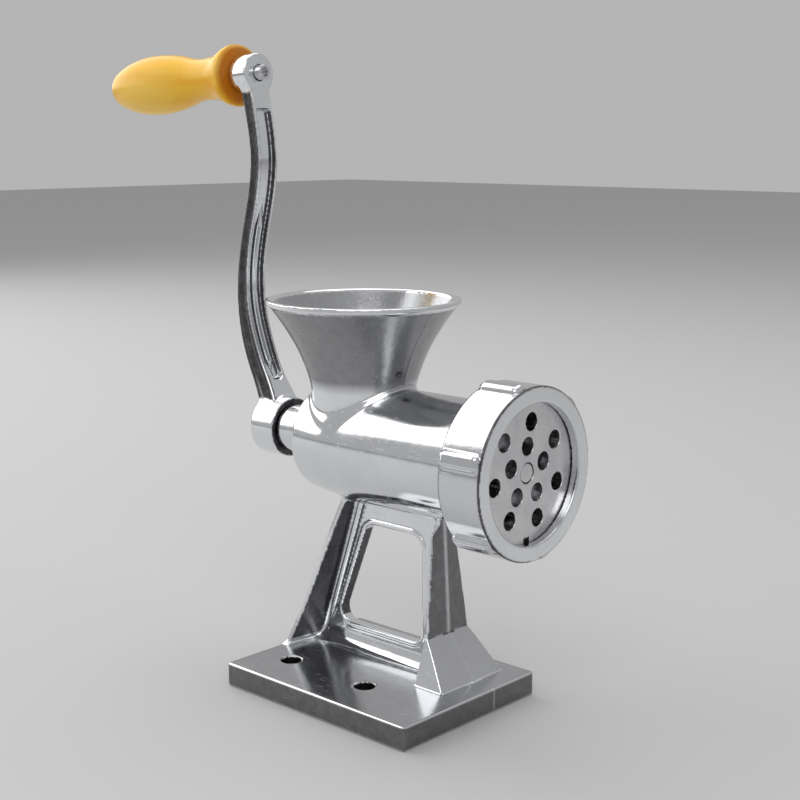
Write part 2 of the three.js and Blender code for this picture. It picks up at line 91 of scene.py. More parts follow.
def inset(points, distance):
    """The outline moved in on every side; its points run anticlockwise."""
    pts = [np.array(p, float) for p in points]
    moved = []
    for i, here in enumerate(pts):
        before, after = here - pts[i - 1], pts[(i + 1) % len(pts)] - here
        n1 = np.array([-before[1], before[0]]) / np.hypot(*before)
        n2 = np.array([-after[1], after[0]]) / np.hypot(*after)
        moved.append(here + (n1 + n2) * distance / (1 + n1 @ n2))
    return moved


class Curve:
    """A smooth function through some points, kept as a fine table with its slope."""

    def __init__(self, points, spacing=0.05):
        x, y = np.array(points, float).T
        h, n = np.diff(x), len(x)
        matrix, right = np.eye(n), np.zeros(n)
        for i in range(1, n - 1):
            matrix[i, i - 1 : i + 2] = h[i - 1], 2 * (h[i - 1] + h[i]), h[i]
            right[i] = 6 * ((y[i + 1] - y[i]) / h[i] - (y[i] - y[i - 1]) / h[i - 1])
        bend = np.linalg.solve(matrix, right)
        self.t = np.arange(x[0], x[-1] + spacing, spacing)
        i = np.clip(np.searchsorted(x, self.t) - 1, 0, n - 2)
        left, past, width = x[i + 1] - self.t, self.t - x[i], h[i]
        self.v = (bend[i] * left**3 + bend[i + 1] * past**3) / (6 * width)
        self.v += (y[i] / width - bend[i] * width / 6) * left
        self.v += (y[i + 1] / width - bend[i + 1] * width / 6) * past
        self.d = np.gradient(self.v, spacing)

    def __call__(self, t):
        return np.interp(t, self.t, self.v)

    def slope(self, t):
        return np.interp(t, self.t, self.d)

    def beyond(self, t, radius):
        """Distance outside the surface that this curve sweeps round its axis."""
        return (radius - self(t)) / np.hypot(1.0, self.slope(t))


def surface(field, low, high, step):
    """Closed mesh of the field's zero surface inside a box, by surface nets. The field is worked
    out at every point only in the blocks near the surface."""
    block, batch = 8, 700
    low, high = np.array(low, float), np.array(high, float)
    blocks = np.ceil((high - low) / (step * block)).astype(int)
    centres = [low[a] + (np.arange(blocks[a]) + 0.5) * block * step for a in range(3)]
    grid = np.meshgrid(*centres, indexing="ij")
    coarse = field(*grid)
    reach = block * step * 1.15  # more than from a block's centre to its corner
    near = np.argwhere(np.abs(coarse) < reach)
    value = np.repeat(np.repeat(np.repeat(coarse, block, 0), block, 1), block, 2)
    offset = np.arange(block)
    cells = np.stack(np.meshgrid(offset, offset, offset, indexing="ij"), -1).reshape(-1, 3)
    for part in np.array_split(near, max(1, len(near) // batch)):
        index = (part[:, None, :] * block + cells[None]).reshape(-1, 3)
        p = low + index * step
        value[tuple(index.T)] = field(*p.T)
    return nets(value, low, step)


def nets(value, low, step):
    """One vertex in each cell that the surface crosses, and a quad across each edge it crosses."""
    inside = value < 0
    shape = np.array(value.shape) - 1
    corners = [(i, j, k) for i in (0, 1) for j in (0, 1) for k in (0, 1)]

    def corner(array, c):
        return array[tuple(slice(c[a], shape[a] + c[a]) for a in range(3))]

    count = sum(corner(inside, c).astype(np.uint8) for c in corners)
    active = (count > 0) & (count < 8)
    where = np.argwhere(active)
    index = np.full(active.shape, -1, np.int64)
    index[active] = np.arange(len(where))
    v = np.stack([corner(value, c)[active] for c in corners], 1)
    position, crossings = np.zeros((len(where), 3)), np.zeros(len(where))
    for a, ca in enumerate(corners):
        for b, cb in enumerate(corners):
            if b > a and sum(abs(p - q) for p, q in zip(ca, cb)) == 1:
                crosses = (v[:, a] < 0) != (v[:, b] < 0)
                t = np.where(crosses, v[:, a] / np.where(crosses, v[:, a] - v[:, b], 1), 0)
                step_to = np.array(cb, float) - np.array(ca, float)
                position += crosses[:, None] * (np.array(ca, float) + t[:, None] * step_to)
                crossings += crosses
    position = low + (where + position / crossings[:, None]) * step
    quads = []
    for axis in range(3):
        u, w = (axis + 1) % 3, (axis + 2) % 3
        here = [slice(1, s) for s in shape]
        there = list(here)
        here[axis], there[axis] = slice(0, shape[axis]), slice(1, shape[axis] + 1)
        a, b = inside[tuple(here)], inside[tuple(there)]
        for start, flip in ((a & ~b, False), (~a & b, True)):
            cell = np.argwhere(start)
            cell[:, [u, w]] += 1
            ring = []
            for du, dw in ((0, 0), (-1, 0), (-1, -1), (0, -1)):
                c = cell.copy()
                c[:, u] += du
                c[:, w] += dw
                ring.append(index[tuple(c.T)])
            quad = np.stack(ring, 1)
            quads.append(quad[:, ::-1] if flip else quad)
    return position, np.concatenate(quads)


def gradient(field, p, h=0.02):
    g = np.empty_like(p)
    for a in range(3):
        q = p.copy()
        q[:, a] += h
        high = field(*q.T)
        q[:, a] -= 2 * h
        g[:, a] = (high - field(*q.T)) / (2 * h)
    return g


def settle(field, p):
    """Moves points onto the surface, and gives the normals there."""
    for _ in range(2):
        g = gradient(field, p)
        size = np.maximum((g * g).sum(1), 0.05)
        p = p - g * (np.clip(field(*p.T), -1.5, 1.5) / size)[:, None]
    g = gradient(field, p, 0.12)
    return p, g / np.maximum(np.linalg.norm(g, axis=1), 1e-9)[:, None]


# ---------------------------------------------------------------------------------------
# Meshes
# ---------------------------------------------------------------------------------------


def make(name, body, points, faces, slot, replaced=(), normals=None, **data):
    """A piece from points in millimetres, in place of the CAD nodes in replaced, or of the one
    with its own name. Extra arrays become point attributes."""
    mesh = bpy.data.meshes.new(name)
    mesh.from_pydata((np.asarray(points) * MM).tolist(), [], [list(map(int, f)) for f in faces])
    mesh.validate()
    mesh.shade_smooth()
    if normals is not None:
        mesh.normals_split_custom_set_from_vertices(normals.tolist())
    for key, value in data.items():
        mesh.attributes.new(key, "FLOAT", "POINT").data.foreach_set("value", value.astype(np.float32))
    obj = bpy.data.objects.new(name, mesh)
    bpy.context.scene.collection.objects.link(obj)
    mesh.materials.append(MATERIALS[slot])
    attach(obj, body)
    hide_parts(*(replaced or (name,)))
    return obj


def fewer_faces(p, quads, share):
    """The mesh with about that share of its faces, the flat areas losing most."""
    mesh = bpy.data.meshes.new("work")
    mesh.from_pydata(p.tolist(), [], quads.tolist())
    work = bpy.data.objects.new("work", mesh)
    bpy.context.scene.collection.objects.link(work)
    work.modifiers.new("d", "DECIMATE").ratio = share
    done = work.evaluated_get(bpy.context.evaluated_depsgraph_get()).to_mesh()
    p = np.array([v.co for v in done.vertices], float)
    faces = [tuple(f.vertices) for f in done.polygons]
    bpy.data.objects.remove(work)
    return p, faces


def sculpt(name, body, field, low, high, step, slot, replaced=(), keep=1.0, raw=None):
    """A piece from a distance field, with the share keep of its faces. The last argument says how far each
    point of the skin gets a darker, rougher finish, from its place and normal: partly skin left as cast,
    partly painted shade."""
    p, faces = surface(field, low, high, step)
    p, _ = settle(field, p)
    if keep < 1:
        p, faces = fewer_faces(p, faces, keep)
    p, n = settle(field, p)
    skin_and_shade_mask = raw(p, n) if raw else np.zeros(len(p))
    # In a hollow, a point moved out along its normal is still near the surface.
    out = 2.5
    hollow = np.clip(1 - field(*(p + n * out).T) / out, 0, 1)
    make(name, body, p, faces, slot, replaced, n, hollow=hollow, raw=skin_and_shade_mask)


def rounded(points):
    """A profile with its corners rounded. Points are (along, radius) or (along, radius, round)."""
    out = []
    for i, point in enumerate(points):
        r = point[2] if len(point) > 2 else 0.0
        here = np.array(point[:2], float)
        if not r or i in (0, len(points) - 1):
            out.append(here)
            continue
        a = np.array(points[i - 1][:2], float) - here
        b = np.array(points[i + 1][:2], float) - here
        la, lb = np.hypot(*a), np.hypot(*b)
        r = min(r, la * 0.48, lb * 0.48)
        p, q = here + a / la * r, here + b / lb * r
        for t in np.linspace(0, 1, 6):
            out.append((1 - t) ** 2 * p + 2 * t * (1 - t) * here + t * t * q)
    return np.array(out)


def placed(points, origin, tilt):
    """Points given round their own X axis, put in the frame."""
    c, s = math.cos(tilt), math.sin(tilt)
    x, y, z = np.asarray(points, float).T
    return np.stack([origin[0] + x * c - z * s, origin[1] + y, origin[2] + x * s + z * c], 1)


def lathe(profile, sides, closed):
    """Points and faces of a turned piece round the X axis. It ends on the axis, or the profile is
    closed on itself."""
    angle = np.arange(sides) * 2 * math.pi / sides
    points, rings = [], []
    for x, r in profile:
        if r < 1e-6:
            rings.append([len(points)] * sides)
            points.append((x, 0.0, 0.0))
        else:
            start = len(points)
            points.extend(zip([x] * sides, r * np.cos(angle), r * np.sin(angle)))
            rings.append(list(range(start, start + sides)))
    faces = []
    pairs = list(zip(rings, rings[1:])) + ([(rings[-1], rings[0])] if closed else [])
    for a, b in pairs:
        for i in range(sides):
            j = (i + 1) % sides
            face = list(dict.fromkeys((a[i], a[j], b[j], b[i])))
            if len(face) > 2:
                faces.append(face)
    return np.array(points), faces


def outward(o):
    """Turns faces to point out and keeps the sharp edges sharp."""
    bm = bmesh.new()
    bm.from_mesh(o.data)
    bmesh.ops.recalc_face_normals(bm, faces=bm.faces)
    for edge in bm.edges:
        edge.smooth = edge.calc_face_angle(0) < math.radians(32)
    bm.to_mesh(o.data)
    bm.free()


def turned(name, body, profile, slot, origin=AXIS, tilt=0.0, sides=72, closed=False):
    p, faces = lathe(rounded(profile), sides, closed)
    outward(make(name, body, placed(p, origin, tilt), faces, slot))


# ---------------------------------------------------------------------------------------
# Materials
# ---------------------------------------------------------------------------------------


class Nodes:
    """Short names for the nodes of one material."""

    def __init__(self, name):
        self.material = bpy.data.materials.new(name)
        self.material.use_nodes = True
        self.tree = self.material.node_tree
        self.shader = self.tree.nodes["Principled BSDF"]
        self.at = self.new("ShaderNodeTexCoord").outputs["Object"]

    def new(self, kind, **values):
        node = self.tree.nodes.new(kind)
        for key, value in values.items():
            setattr(node, key, value)
        return node

    def wire(self, source, target):
        if isinstance(source, (int, float, tuple)):
            target.default_value = source
        else:
            self.tree.links.new(source, target)

    def noise(self, scale, detail=4.0, rough=0.5, stretch=None, turn=(0, 0, 0)):
        node = self.new("ShaderNodeTexNoise")
        node.inputs["Scale"].default_value = scale
        node.inputs["Detail"].default_value = detail
        node.inputs["Roughness"].default_value = rough
        at = self.at
        if stretch:
            place = self.new("ShaderNodeMapping")
            place.inputs["Rotation"].default_value = turn
            place.inputs["Scale"].default_value = stretch
            self.wire(at, place.inputs["Vector"])
            at = place.outputs[0]
        self.wire(at, node.inputs["Vector"])
        return node.outputs["Fac"]

    def spots(self, scale, size):
        """1 in small round spots, 0 elsewhere."""
        node = self.new("ShaderNodeTexVoronoi")
        node.inputs["Scale"].default_value = scale
        self.wire(self.at, node.inputs["Vector"])
        return self.ramp(node.outputs["Distance"], size * 0.5, size, 1.0, 0.0)

    def ramp(self, source, low, high, start=0.0, end=1.0):
        node = self.new("ShaderNodeMapRange")
        self.wire(source, node.inputs["Value"])
        for name, value in (("From Min", low), ("From Max", high), ("To Min", start), ("To Max", end)):
            self.wire(value, node.inputs[name])
        return node.outputs["Result"]

    def math(self, operation, a, b=0.0, clamp=False):
        node = self.new("ShaderNodeMath", operation=operation, use_clamp=clamp)
        self.wire(a, node.inputs[0])
        self.wire(b, node.inputs[1])
        return node.outputs[0]

    def mix(self, factor, a, b):
        node = self.new("ShaderNodeMix", data_type="RGBA")
        self.wire(factor, node.inputs["Factor"])
        self.wire((*a, 1.0) if isinstance(a, tuple) else a, node.inputs["A"])
        self.wire((*b, 1.0) if isinstance(b, tuple) else b, node.inputs["B"])
        return node.outputs["Result"]

    def attribute(self, name):
        return self.new("ShaderNodeAttribute", attribute_name=name).outputs["Fac"]

    def bump(self, height, distance, strength, after=None):
        node = self.new("ShaderNodeBump")
        node.inputs["Distance"].default_value = distance
        self.wire(strength, node.inputs["Strength"])
        self.wire(height, node.inputs["Height"])
        if after:
            self.wire(after, node.inputs["Normal"])
        return node.outputs[0]

    def finish(self, colour, roughness, normal=None, metallic=1.0, **constants):
        self.wire((*colour, 1.0) if isinstance(colour, tuple) else colour, self.shader.inputs["Base Color"])
        self.wire(roughness, self.shader.inputs["Roughness"])
        self.shader.inputs["Metallic"].default_value = metallic
        if normal:
            self.wire(normal, self.shader.inputs["Normal"])
        for key, value in constants.items():
            self.shader.inputs[key.replace("_", " ")].default_value = value
        return self.material


def scratches(n, scale, turn, rarity):
    """Long thin marks in one direction, broken into short stretches."""
    lines = n.noise(scale, 2.0, 0.5, (1.0, 26.0, 26.0), turn)
    broken = n.noise(scale * 1.7, 2.0)
    return n.math("MULTIPLY", n.ramp(lines, rarity, rarity + 0.05), n.ramp(broken, 0.5, 0.62))


def grain_strength(n, raw):
    """The casting skin is grainier than the polished metal."""
    return n.ramp(raw, 0.0, 1.0, 0.06, 0.8)


def cast_aluminium(name, light, dark, smooth):
    """Polished casting: soft waves from hand polishing, pits, scratches, darker, rougher patches in the
    hollows, and a greyer, darker, rougher skin, partly left as cast and partly painted shade. smooth is
    its least roughness."""
    n = Nodes(name)
    cloud = n.noise(45.0, 4.0, 0.55)
    pits = n.math("MULTIPLY", n.spots(260.0, 0.13), n.ramp(n.noise(60.0, 3.0), 0.58, 0.66))
    specks = n.math("MULTIPLY", n.spots(620.0, 0.18), n.ramp(n.noise(90.0, 3.0), 0.57, 0.66))
    pits = n.math("MAXIMUM", pits, specks)
    marks = scratches(n, 80.0, (0.3, 0.9, 0.5), 0.67)
    marks = n.math("MAXIMUM", marks, scratches(n, 110.0, (1.1, 0.2, 1.9), 0.68))
    marks = n.math("MAXIMUM", marks, scratches(n, 65.0, (0.7, 1.6, 2.8), 0.67))
    raw, hollow = n.attribute("raw"), n.attribute("hollow")
    colour = n.mix(n.ramp(cloud, 0.35, 0.65), dark, light)
    # Dark skin colour where the skin mask is high: partly casting skin, partly painted shade.
    skin = n.mix(n.ramp(n.noise(220.0, 5.0, 0.65), 0.3, 0.7), (0.045, 0.045, 0.048), (0.12, 0.12, 0.125))
    colour = n.mix(raw, colour, skin)
    colour = n.mix(n.math("MULTIPLY", marks, 0.25), colour, (0.9, 0.91, 0.92))
    colour = n.mix(n.math("MULTIPLY", pits, 0.5), colour, (0.18, 0.18, 0.19))
    # Darker, rougher patches in the hollows, found from the hollow attribute.
    deep = n.ramp(hollow, 0.3, 0.9)
    patches = n.ramp(n.noise(160.0, 4.0), 0.25, 0.7, 0.5, 1.0)
    hollow_darkening = n.math("MULTIPLY", deep, patches, True)
    colour = n.mix(n.math("MULTIPLY", hollow_darkening, 0.55, True), colour, (0.2, 0.2, 0.21))
    rough = n.ramp(cloud, 0.3, 0.7, smooth, smooth + 0.05)
    rough = n.math("ADD", rough, n.math("MULTIPLY", hollow_darkening, 0.2))
    rough = n.math("ADD", rough, n.math("MULTIPLY", marks, 0.1))
    rough = n.math("ADD", rough, n.math("MULTIPLY", raw, 0.22))
    normal = n.bump(n.noise(24.0, 1.0, 0.4), 0.0012, 0.05)
    normal = n.bump(n.noise(420.0, 4.0, 0.6), 0.00016, grain_strength(n, raw), normal)
    normal = n.bump(pits, -0.0002, 0.6, normal)
    normal = n.bump(marks, -0.00006, 0.5, normal)
    return n.finish(colour, rough, normal)


def turned_metal(name, light, dark, smooth):
    """Machined metal: very fine turning marks and a few scratches."""
    n = Nodes(name)
    cloud = n.noise(90.0, 4.0, 0.6)
    lines = n.noise(2600.0, 2.0, 0.5, (1.0, 0.12, 0.12))
    marks = scratches(n, 260.0, (0.4, 1.2, 0.2), 0.62)
    colour = n.mix(n.ramp(cloud, 0.35, 0.65), dark, light)
    rough = n.math("ADD", n.ramp(cloud, 0.3, 0.7, smooth, smooth + 0.12), n.math("MULTIPLY", marks, 0.15))
    normal = n.bump(lines, 0.00003, 0.5)
    normal = n.bump(marks, -0.00006, 0.5, normal)
    return n.finish(colour, rough, normal)


def varnished_wood(name):
    """Honey-yellow varnish over turned wood, darker on the end grain and in small pores."""
    n = Nodes(name)
    grain = n.noise(95.0, 5.0, 0.62, (0.09, 1.0, 1.0), (0.0, 0.056, 0.0))
    figure = n.noise(22.0, 3.0, 0.5, (0.22, 1.0, 1.0), (0.0, 0.056, 0.1))
    pores = n.math("MULTIPLY", n.spots(420.0, 0.17), n.ramp(n.noise(120.0, 3.0), 0.5, 0.6))
    colour = n.mix(n.ramp(grain, 0.3, 0.7), (0.86, 0.47, 0.015), (0.97, 0.68, 0.06))
    colour = n.mix(n.ramp(figure, 0.4, 0.62, 0.0, 0.85), colour, (0.99, 0.9, 0.42))
    end = n.attribute("endgrain")
    colour = n.mix(n.math("MULTIPLY", end, 0.85), colour, (0.5, 0.13, 0.004))
    colour = n.mix(n.math("MULTIPLY", pores, 0.5), colour, (0.28, 0.1, 0.015))
    rough = n.ramp(figure, 0.3, 0.7, 0.2, 0.32)
    normal = n.bump(n.noise(30.0, 2.0), 0.0008, 0.35)
    normal = n.bump(grain, 0.00008, 0.4, normal)
    normal = n.bump(pores, -0.00015, 0.5, normal)
    return n.finish(
        colour, rough, normal, 0.0, Specular_IOR_Level=0.15,
        Coat_Weight=0.8, Coat_Roughness=0.22, Coat_IOR=1.2, Coat_Tint=(1.0, 0.82, 0.42, 1.0),
    )


def nylon(name):
    """Slightly yellowed white plastic."""
    n = Nodes(name)
    cloud = n.noise(120.0, 3.0)
    colour = n.mix(cloud, (0.72, 0.7, 0.62), (0.84, 0.82, 0.76))
    return n.finish(colour, n.ramp(cloud, 0.3, 0.7, 0.4, 0.5), n.bump(n.noise(1500.0), 0.00004, 0.4), 0.0)


MATERIALS = {
    "cast_aluminium": cast_aluminium("cast_aluminium", (0.86, 0.87, 0.89), (0.8, 0.81, 0.83), 0.06),
    "auger_casting": cast_aluminium("auger_casting", (0.72, 0.73, 0.74), (0.6, 0.61, 0.62), 0.24),
    "steel": turned_metal("ground_steel", (0.74, 0.74, 0.75), (0.62, 0.62, 0.64), 0.18),
    "bronze": turned_metal("oiled_bronze", (0.7, 0.5, 0.28), (0.55, 0.36, 0.18), 0.3),
    "varnished_wood": varnished_wood("varnished_wood"),
    "nylon": nylon("nylon"),
}

# ---------------------------------------------------------------------------------------
# Body casting. A pair is a piece's two ends along the barrel's axis, or its low and high end.
# ---------------------------------------------------------------------------------------

PITCH = 3.0  # of the thread at the barrel's mouth
BARREL = (-52.0, 62.0)
BARREL_RADIUS = Curve([
    (-60, 27.2), (-49.6, 27.6), (-45, 28.2), (-38, 29), (-30, 29.6), (-20, 29.8), (20, 29.8), (70, 29.8),
])
NECK, NECK_RADIUS = (-77.5, -40.0), 12.8
MOUTH, MOUTH_RADIUS = (59.2, 76.0), 38.4
CHAMBER, CHAMBER_RADIUS = (-47.0, 64.8), 25.0
PLATE_SEAT_RADIUS, SHAFT_BORE_RADIUS = 35.2, 10.7
KEY_X, KEY_SLOT_RADIUS, KEY_SLOT_TOP = 74.0, 1.9, 90.0

HOPPER_X = -25.4
HOPPER_OUT = Curve([
    (110, 26.5), (134, 26.3), (146, 26.3), (154, 27.4), (162, 30), (170, 33.4), (178, 37.8), (186, 43),
    (191.5, 47), (200, 53.5),
])
HOPPER_IN = Curve([
    (110, 20.1), (136, 20.2), (150, 21), (156, 23.4), (162, 26.8), (170, 30.3), (178, 34.7), (186, 39.9),
    (191.5, 43.7), (200, 49.5),
])
LIP, LIP_RADIUS = (192.1, 195.0), 49.0
FLARE_Z = 170.0  # above it there is only the hopper
BLEMISH, BLEMISH_RADIUS = np.array((3.5, -5.1, 159.9)), 1.1  # a small casting flaw on the hopper

BASE_HALF_X, BASE_HALF_Y, BASE_Y, BASE_CORNER = 61.0, 48.0, -16.0, 2.0
BOLT_X, BOLT_Y, BOLT_RADIUS = (-40.0, 12.0), (-39.0, 19.0), 5.25
SEAM_Y = 0.5  # the mould's parting line on the base's front edge

FOOT_Z, TOP_Z, CREASE_Z = 12.0, 104.0, 34.0  # the front leg's foot flares out below the crease
WEB_HALF, RIM_HALF, RIM = 2.5, 3.4, (-1.0, 2.6)  # the rim lies between two distances from the window
WINDOW, WINDOW_CORNER = [(-42.5, 24.5), (17, 24.5), (17, 80), (-20.5, 80)], 7.0
REAR_FOOT_X, REAR_TOP_X = -60.5, -28.5
REAR_NEAR = Curve([(8, 26.2), (12, 25), (22, 22), (34, 19.4), (60, 15.4), (90, 10.4), (99, 8.6), (130, 8.2)])
REAR_FAR = Curve([(8, 14.6), (12, 14), (34, 11), (70, 9.4), (104, 8), (130, 8)])
REAR_THICK, REAR_THINNING = 5.7, 2.9  # at the web, and how much less at the edges
FRONT_X, FRONT_LEAN, FRONT_FLARE = 32.4, 4.4, 16.1 / 22.0
FRONT_HALF = [(8, 25.7), (12, 23), (34, 15.2), (84, 8.6), (88.5, 3.0), (112, 3.0)]
BEAD_OFF, BEAD_Y, BEAD_RADIUS = 8.6, 3.2, 1.9


def off_rear_face(x, z):
    """How far a point is in front of the rear leg's sloping face."""
    run, rise = REAR_TOP_X - REAR_FOOT_X, TOP_Z - FOOT_Z
    return ((x - REAR_FOOT_X) * rise - (z - FOOT_Z) * run) / math.hypot(run, rise)


def rear_leg(x, y, z):
    near, far = REAR_NEAR(z), REAR_FAR(z)
    side = np.where(y < 0, -y - near, y - far) * 0.97
    share = np.clip(np.where(y < 0, -y / near, y / far), 0, 1)
    return both(between(off_rear_face(x, z), 0.0, REAR_THICK - REAR_THINNING * share), side, 0.9)


def front_leg(x, y, z):
    rise = np.clip((z - CREASE_Z) / (TOP_Z - CREASE_Z), 0, 1.4)
    face = FRONT_X - FRONT_LEAN * rise
    slant = (x - face) * 0.998
    flare = (x - FRONT_X + (z - CREASE_Z) * FRONT_FLARE) * 0.807
    out = np.where(z > CREASE_Z, slant, flare)
    crease = 0.25 * np.exp(-(((z - CREASE_Z) / 3.5) ** 2))
    seam = 0.3 * np.exp(-((y / 0.6) ** 2))
    dip = 0.5 * np.clip(np.abs(y) / 12, 0, 1)
    out = out + crease - seam + dip
    half = np.interp(z, *np.transpose(FRONT_HALF))
    side = (np.abs(y) - half) * np.where(z > CREASE_Z, 0.99, 0.94)
    share = np.clip(np.abs(y) / half, 0, 1)
    back = np.where(z > CREASE_Z, face - 5.2 + 3.0 * share, 27.2 + 2.6 * share)
    return both(both(out, side, 0.8), back - x, 0.8)


def pedestal(x, y, z):
    outline = [(REAR_FOOT_X + 1, FOOT_Z - 2), (32, FOOT_Z - 2), (27.6, 112), (REAR_TOP_X + 2, 112)]
    web = both(polygon(x, z, outline), np.abs(y) - WEB_HALF)
    window = polygon(x, z, inset(WINDOW, WINDOW_CORNER)) - WINDOW_CORNER
    rim = both(between(window, *RIM), np.abs(y) - RIM_HALF, 0.9)
    apron = [(-60, 8), (33, 8), (32, 17), (-58, 17)]
    apron = both(polygon(x, z, apron), np.abs(y) - 6.5 + (z - FOOT_Z) * 0.85)
    d = join(web, rim, 0.8)
    d = join(d, apron, 3.5)
    d = join(d, rear_leg(x, y, z), 2.6)
    # A round bead runs down the corner between the web and the rear leg.
    fade = np.clip((z - 22) / 10, 0, 1) * np.clip((108 - z) / 6, 0, 1)
    bead = np.hypot(off_rear_face(x, z) - BEAD_OFF, np.abs(y) - BEAD_Y) - BEAD_RADIUS * fade
    d = join(d, bead, 0.8)
    d = join(d, front_leg(x, y, z), 1.6)
    return cut(both(d, between(z, 2.0, 114.0)), window, 1.1)


def base(x, y, z):
    qx = np.abs(x) - (BASE_HALF_X - BASE_CORNER)
    qy = np.abs(y - BASE_Y) - (BASE_HALF_Y - BASE_CORNER)
    plan = np.hypot(np.maximum(qx, 0), np.maximum(qy, 0)) + np.minimum(np.maximum(qx, qy), 0) - BASE_CORNER
    seam = 0.35 * np.exp(-(((y - SEAM_Y) / 0.5) ** 2)) * (x > 50)
    return both(plan - seam, between(z, 0.1, FOOT_Z), 0.8)


def thread_radius(x, y, z, radius, depth):
    turn = np.arctan2(z - AXIS_Z, y) / (2 * math.pi)
    saw = np.abs(((x / PITCH - turn) % 1.0) * 2 - 1)
    return radius - depth * np.clip(saw * 1.5 - 0.25, 0, 1)


def barrel_outside(x, y, z):
    r = np.hypot(y, z - AXIS_Z)
    tube = both(BARREL_RADIUS.beyond(x, r), BARREL[0] - x, 3.2)
    tube = both(tube, x - BARREL[1])
    neck = both(r - NECK_RADIUS, between(x, *NECK), 0.8)
    mouth = both(r - thread_radius(x, y, z, MOUTH_RADIUS, 0.95), between(x, *MOUTH), 0.7)
    return join(join(tube, neck, 5.0), mouth, 1.2)


def hopper_outside(x, y, z):
    ring = np.hypot(x - HOPPER_X, y)
    seam = 0.32 * np.exp(-((y / 0.7) ** 2))
    cone = HOPPER_OUT.beyond(z, ring - seam)
    cone = both(both(cone, z - LIP[1] + 0.4, 0.8), AXIS_Z - z)
    lip = both(ring - LIP_RADIUS, between(z, *LIP), 1.3)
    return join(cone, lip, 1.2)


def body_hollow(x, y, z):
    r, ring = np.hypot(y, z - AXIS_Z), np.hypot(x - HOPPER_X, y)
    chamber = both(r - CHAMBER_RADIUS, between(x, *CHAMBER))
    hollow = join(chamber, both(HOPPER_IN.beyond(z, ring), AXIS_Z - z), 2.0)
    hollow = join(hollow, both(r - PLATE_SEAT_RADIUS, CHAMBER[1] - x, 0.3))
    return join(hollow, both(r - SHAFT_BORE_RADIUS, x - NECK[1]))


def body_casting(x, y, z):
    barrel, cone = barrel_outside(x, y, z), hopper_outside(x, y, z)
    d = join(barrel, cone, 2.6)
    # A low bead runs round the joint of barrel and hopper.
    joint = np.abs(barrel - cone)
    d = d - 0.5 * np.exp(-((joint / 1.6) ** 2)) * (z < FLARE_Z) * (d < 6)
    d = both(d, np.hypot(x - HOPPER_X, y) - np.where(z > FLARE_Z, LIP_RADIUS, 300.0))
    d = join(d, pedestal(x, y, z), 3.0)
    d = join(d, base(x, y, z), np.where(x > 0, np.clip(3.0 - x * 0.07, 0.9, 3.0), 3.0))
    d = cut(d, body_hollow(x, y, z), 0.9)
    for bolt_x in BOLT_X:
        for bolt_y in BOLT_Y:
            d = cut(d, both(np.hypot(x - bolt_x, y - bolt_y) - BOLT_RADIUS, z - 30.0), 0.6)
    flaw = np.sqrt((x - BLEMISH[0]) ** 2 + (y - BLEMISH[1]) ** 2 + (z - BLEMISH[2]) ** 2)
    d = cut(d, flaw - BLEMISH_RADIUS, 0.3)
    return cut(d, both(np.hypot(x - KEY_X, y) - KEY_SLOT_RADIUS, z - KEY_SLOT_TOP))


def casting_skin_and_shade(p, n):
    """Dark grey skin, partly casting skin left as cast and partly painted shade: most on the base's edges
    and the legs' flanges, less on the hopper, and least on the tube. The seams on the base's edge and
    the front leg get less of it and are brighter, a painted highlight."""
    x, y, z = p.T
    edge = (z < FOOT_Z - 0.4) * (np.abs(n[:, 2]) < 0.5) * 0.85
    # Less dark skin along the base's seam than round it: a painted highlight on the seam.
    edge = edge * np.where(x > 55, np.clip(np.abs(y - SEAM_Y) * 0.9 + 0.35, 0, 1), 1)
    # The base's top is darkened too: painted shade.
    top = (np.abs(z - FOOT_Z) < 0.3) * (n[:, 2] > 0.95) * 0.4
    leg = (np.abs(n[:, 0]) > 0.8) * (z > np.where(x < 0, 15.0, CREASE_Z - 0.5)) * (z < 93)
    # Less dark skin on the front leg's seam: a painted highlight there.
    leg = leg * np.where(x < 0, 0.95, 0.85 * np.clip((np.abs(y) - 0.4) / 0.8, 0.4, 1))
    foot = (n[:, 0] > 0.6) * (x > 30) * (z > FOOT_Z + 0.5) * (z < CREASE_Z)
    foot = foot * np.clip(np.abs(y - SEAM_Y) - 0.2, 0, 0.3)
    tube = (np.hypot(y, z - AXIS_Z) < 33) * (z > 92) * (x < BARREL[1]) * 0.07
    ring = np.hypot(x - HOPPER_X, y)
    cup = (ring < HOPPER_IN(z) + 1.0) * (z > 150) * (z < 193.5) * 0.5
    bell = (ring > HOPPER_OUT(z) - 1.0) * np.clip((z - 150) / 6, 0, 1) * (z < 191.5) * 0.7
    mark = np.exp(-(((p - BLEMISH) ** 2).sum(1) / 2.0))
    neck = (x < NECK[0] + 1.0) * (n[:, 0] < -0.7) * 0.8
    return np.clip(edge + top + leg + foot + tube + cup + bell + neck + mark, 0, 1)


sculpt(
    "body_casting", "casting", body_casting, (-77.5, -66, -2), (78.5, 51, 197), 0.95, "cast_aluminium",
    ("base_plate", "pedestal", "barrel", "hopper"), 0.55, casting_skin_and_shade,
)

# ---------------------------------------------------------------------------------------
# Ring nut
# ---------------------------------------------------------------------------------------

RING, RING_RADIUS, RING_CHAMFER = (59.5, 84.5), 41.2, 1.2
RING_OPENING_RADIUS, RING_THREAD_RADIUS, RING_THREAD_END = 33.4, 39.9, 80.0
RIB, RIB_COUNT, FIRST_RIB = (63.6, 80.4), 6, math.radians(44.5)
RIB_RADIUS, RIB_HALF, RIB_AT = 2.9, 1.3, 41.0


